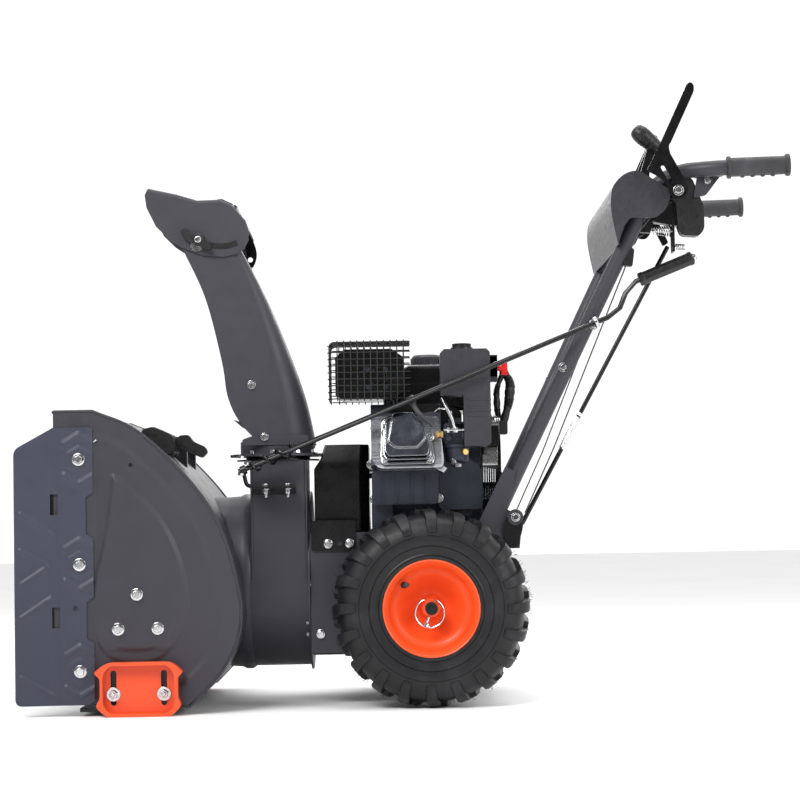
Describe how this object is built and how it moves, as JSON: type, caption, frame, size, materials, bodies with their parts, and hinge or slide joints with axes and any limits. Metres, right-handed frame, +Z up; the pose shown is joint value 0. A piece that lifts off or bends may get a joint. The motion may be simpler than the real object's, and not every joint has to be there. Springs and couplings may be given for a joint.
{
  "type": "snow blower",
  "caption": "Two-stage snow blower with augers, impeller, swivelling chute, small engine, friction drive, wheels and handlebar.",
  "frame": {"origin": "on the ground under the middle of the machine, half way along and half way across", "axes": "+X towards the operator, -X forwards out of the auger, +Y the operator's right, +Z up"},
  "size_m": [1.2966, 0.6286, 1.036],
  "materials": {
    "body_paint": "satin powder coat",
    "wing_paint": "satin powder coat",
    "orange_paint": "gloss paint",
    "impeller_paint": "gloss paint",
    "black_paint": "satin paint",
    "black_plastic": "moulded, fine texture",
    "grey_plastic": "moulded, fine texture",
    "grip_rubber": "soft matt rubber",
    "tyre_rubber": "moulded rubber",
    "zinc_steel": "bright zinc plate",
    "cast_metal": "painted casting",
    "bare_aluminium": "cast, bright",
    "chrome_cover": "polished pressing",
    "red_plastic": "moulded"
  },
  "bodies": {
    "machine": {"auger_housing": "body_paint", "left_side_plate": "body_paint", "right_side_plate": "body_paint", "impeller_drum": "body_paint", "scraper_bar": "black_paint", "left_drift_wing": "wing_paint", "right_drift_wing": "wing_paint", "auger_gearbox": "cast_metal", "chute_collar": "black_paint", "worm_bracket": "black_paint", "chassis": "body_paint", "bottom_cover": "body_paint", "belt_cover": "body_paint", "engine_block": "cast_metal", "valve_cover": "chrome_cover", "muffler": "black_paint", "muffler_guard": "black_paint", "fuel_tank": "black_paint", "heater_box": "grey_plastic", "carburettor": "bare_aluminium", "recoil_starter": "black_paint", "left_handle": "body_paint", "right_handle": "body_paint", "dash_panel": "grey_plastic", "left_grip": "grip_rubber", "right_grip": "grip_rubber", "left_clutch_cable": "zinc_steel", "right_clutch_cable": "zinc_steel"},
    "wheels": {"axle": "zinc_steel", "left_rim": "orange_paint", "right_rim": "orange_paint", "left_tyre": "tyre_rubber", "right_tyre": "tyre_rubber"},
    "cross_shaft": {"friction_wheel": "zinc_steel"},
    "auger": {"auger_shaft": "zinc_steel", "left_auger_flight": "black_paint", "right_auger_flight": "black_paint"},
    "impeller_rotor": {"impeller": "impeller_paint", "impeller_shaft": "zinc_steel"},
    "drive_disc": {"drive_disc": "bare_aluminium"},
    "crankshaft": {"engine_pulley": "zinc_steel"},
    "chute": {"chute": "body_paint"},
    "crank": {"crank_rod": "black_paint"},
    "crank_grip": {"crank_grip": "black_plastic"},
    "deflector": {"deflector": "body_paint"},
    "deflector_knob": {"deflector_knob": "black_plastic"},
    "left_clutch_lever": {"left_clutch_lever": "black_paint"},
    "right_clutch_lever": {"right_clutch_lever": "black_paint"},
    "shift_lever": {"shift_lever": "black_paint"},
    "shift_rod": {"shift_rod": "zinc_steel"},
    "left_skid_shoe": {"left_skid_shoe": "orange_paint"},
    "right_skid_shoe": {"right_skid_shoe": "orange_paint"},
    "pull_handle": {"pull_handle": "black_plastic"},
    "fuel_cap": {"fuel_cap": "grey_plastic"},
    "choke_knob": {"choke_knob": "black_plastic"},
    "ignition_key": {"ignition_key": "red_plastic"},
    "oil_filler_cap": {"oil_filler_cap": "black_plastic"},
    "left_cable_pulley": {"left_cable_pulley": "grey_plastic"},
    "right_cable_pulley": {"right_cable_pulley": "grey_plastic"},
    "clean_out_tool": {"clean_out_tool": "black_plastic"}
  },
  "joints": [
    {"name": "wheel_spin", "type": "hinge", "parent": "machine", "child": "wheels", "pos_m": [0.0367, 0, 0.166], "axis": [0, 1, 0], "continuous": true},
    {"name": "cross_shaft_spin", "type": "hinge", "parent": "machine", "child": "cross_shaft", "pos_m": [-0.0013, 0, 0.21], "axis": [0, 1, 0], "continuous": true},
    {"name": "auger_spin", "type": "hinge", "parent": "machine", "child": "auger", "pos_m": [-0.4483, 0, 0.158], "axis": [0, 1, 0], "continuous": true},
    {"name": "impeller_spin", "type": "hinge", "parent": "machine", "child": "impeller_rotor", "pos_m": [-0.2233, 0, 0.21], "axis": [1, 0, 0], "continuous": true},
    {"name": "drive_disc_spin", "type": "hinge", "parent": "machine", "child": "drive_disc", "pos_m": [-0.0733, 0, 0.21], "axis": [1, 0, 0], "continuous": true},
    {"name": "crankshaft_spin", "type": "hinge", "parent": "machine", "child": "crankshaft", "pos_m": [-0.0733, 0, 0.4], "axis": [1, 0, 0], "continuous": true},
    {"name": "chute_swivel", "type": "hinge", "parent": "machine", "child": "chute", "pos_m": [-0.2233, -0.08, 0.43], "axis": [0, 0, 1], "range_deg": [-100, 100]},
    {"name": "crank_turn", "type": "hinge", "parent": "machine", "child": "crank", "pos_m": [-0.2853, -0.186, 0.4], "axis": [0.929, -0.032, 0.3686], "range_deg": [-1900, 1900]},
    {"name": "crank_grip_spin", "type": "hinge", "parent": "crank", "child": "crank_grip", "pos_m": [0.44447, -0.21161, 0.7304], "axis": [0.929, -0.032, 0.3686], "continuous": true},
    {"name": "deflector_tilt", "type": "hinge", "parent": "chute", "child": "deflector", "pos_m": [-0.3133, -0.08, 0.858], "axis": [0, 1, 0], "range_deg": [-4, 50]},
    {"name": "deflector_knob_turn", "type": "hinge", "parent": "chute", "child": "deflector_knob", "pos_m": [-0.3513, -0.155, 0.8], "axis": [0, 1, 0], "range_deg": [-360, 0]},
    {"name": "left_clutch_press", "type": "hinge", "parent": "machine", "child": "left_clutch_lever", "pos_m": [0.4597, -0.281, 0.854], "axis": [0, 1, 0], "range_deg": [0, 52], "stiffness_Nm_per_rad": 1.5, "springref_deg": -20.05},
    {"name": "right_clutch_press", "type": "hinge", "parent": "machine", "child": "right_clutch_lever", "pos_m": [0.4597, 0.281, 0.854], "axis": [0, 1, 0], "range_deg": [0, 52], "stiffness_Nm_per_rad": 1.5, "springref_deg": -20.05},
    {"name": "shift_lever_swing", "type": "hinge", "parent": "machine", "child": "shift_lever", "pos_m": [0.4367, -0.06, 0.842], "axis": [0, 1, 0], "range_deg": [-15, 15]},
    {"name": "shift_rod_slide", "type": "slide", "parent": "machine", "child": "shift_rod", "axis": [0.4825, 0, 0.8759], "range_m": [-0.016, 0.016]},
    {"name": "left_shoe_height", "type": "slide", "parent": "machine", "child": "left_skid_shoe", "axis": [0, 0, 1], "range_m": [-0.03, 0.01]},
    {"name": "right_shoe_height", "type": "slide", "parent": "machine", "child": "right_skid_shoe", "axis": [0, 0, 1], "range_m": [-0.03, 0.01]},
    {"name": "recoil_pull", "type": "slide", "parent": "machine", "child": "pull_handle", "axis": [1, 0, 0], "range_m": [0, 0.45], "stiffness_N_per_m": 40, "springref_m": -0.1},
    {"name": "fuel_cap_turn", "type": "hinge", "parent": "machine", "child": "fuel_cap", "pos_m": [0.0407, 0.044, 0.59], "axis": [0, 0, 1], "range_deg": [0, 90]},
    {"name": "choke_turn", "type": "hinge", "parent": "machine", "child": "choke_knob", "pos_m": [0.0977, -0.15, 0.606], "axis": [0, 0, 1], "range_deg": [0, 90]},
    {"name": "ignition_key_pull", "type": "slide", "parent": "machine", "child": "ignition_key", "axis": [1, 0, 0], "range_m": [0, 0.02]},
    {"name": "oil_cap_turn", "type": "hinge", "parent": "machine", "child": "oil_filler_cap", "pos_m": [0.0987, -0.094, 0.332], "axis": [0, 1, 0], "range_deg": [-360, 0]},
    {"name": "left_pulley_spin", "type": "hinge", "parent": "machine", "child": "left_cable_pulley", "pos_m": [0.1837, -0.163, 0.315], "axis": [0, 1, 0], "continuous": true},
    {"name": "right_pulley_spin", "type": "hinge", "parent": "machine", "child": "right_cable_pulley", "pos_m": [0.1837, 0.163, 0.315], "axis": [0, 1, 0], "continuous": true},
    {"name": "clean_out_tool_lift", "type": "slide", "parent": "machine", "child": "clean_out_tool", "axis": [0, 0, 1], "range_m": [0, 0.15]}
  ],
  "couplings": [
    {"joint": "cross_shaft_spin", "follows": "wheel_spin", "ratio": -3.6667},
    {"joint": "impeller_spin", "follows": "auger_spin", "ratio": 10},
    {"joint": "crank_turn", "follows": "chute_swivel", "ratio": 19},
    {"joint": "shift_rod_slide", "follows": "shift_lever_swing", "m_per_rad": -0.054}
  ]
}
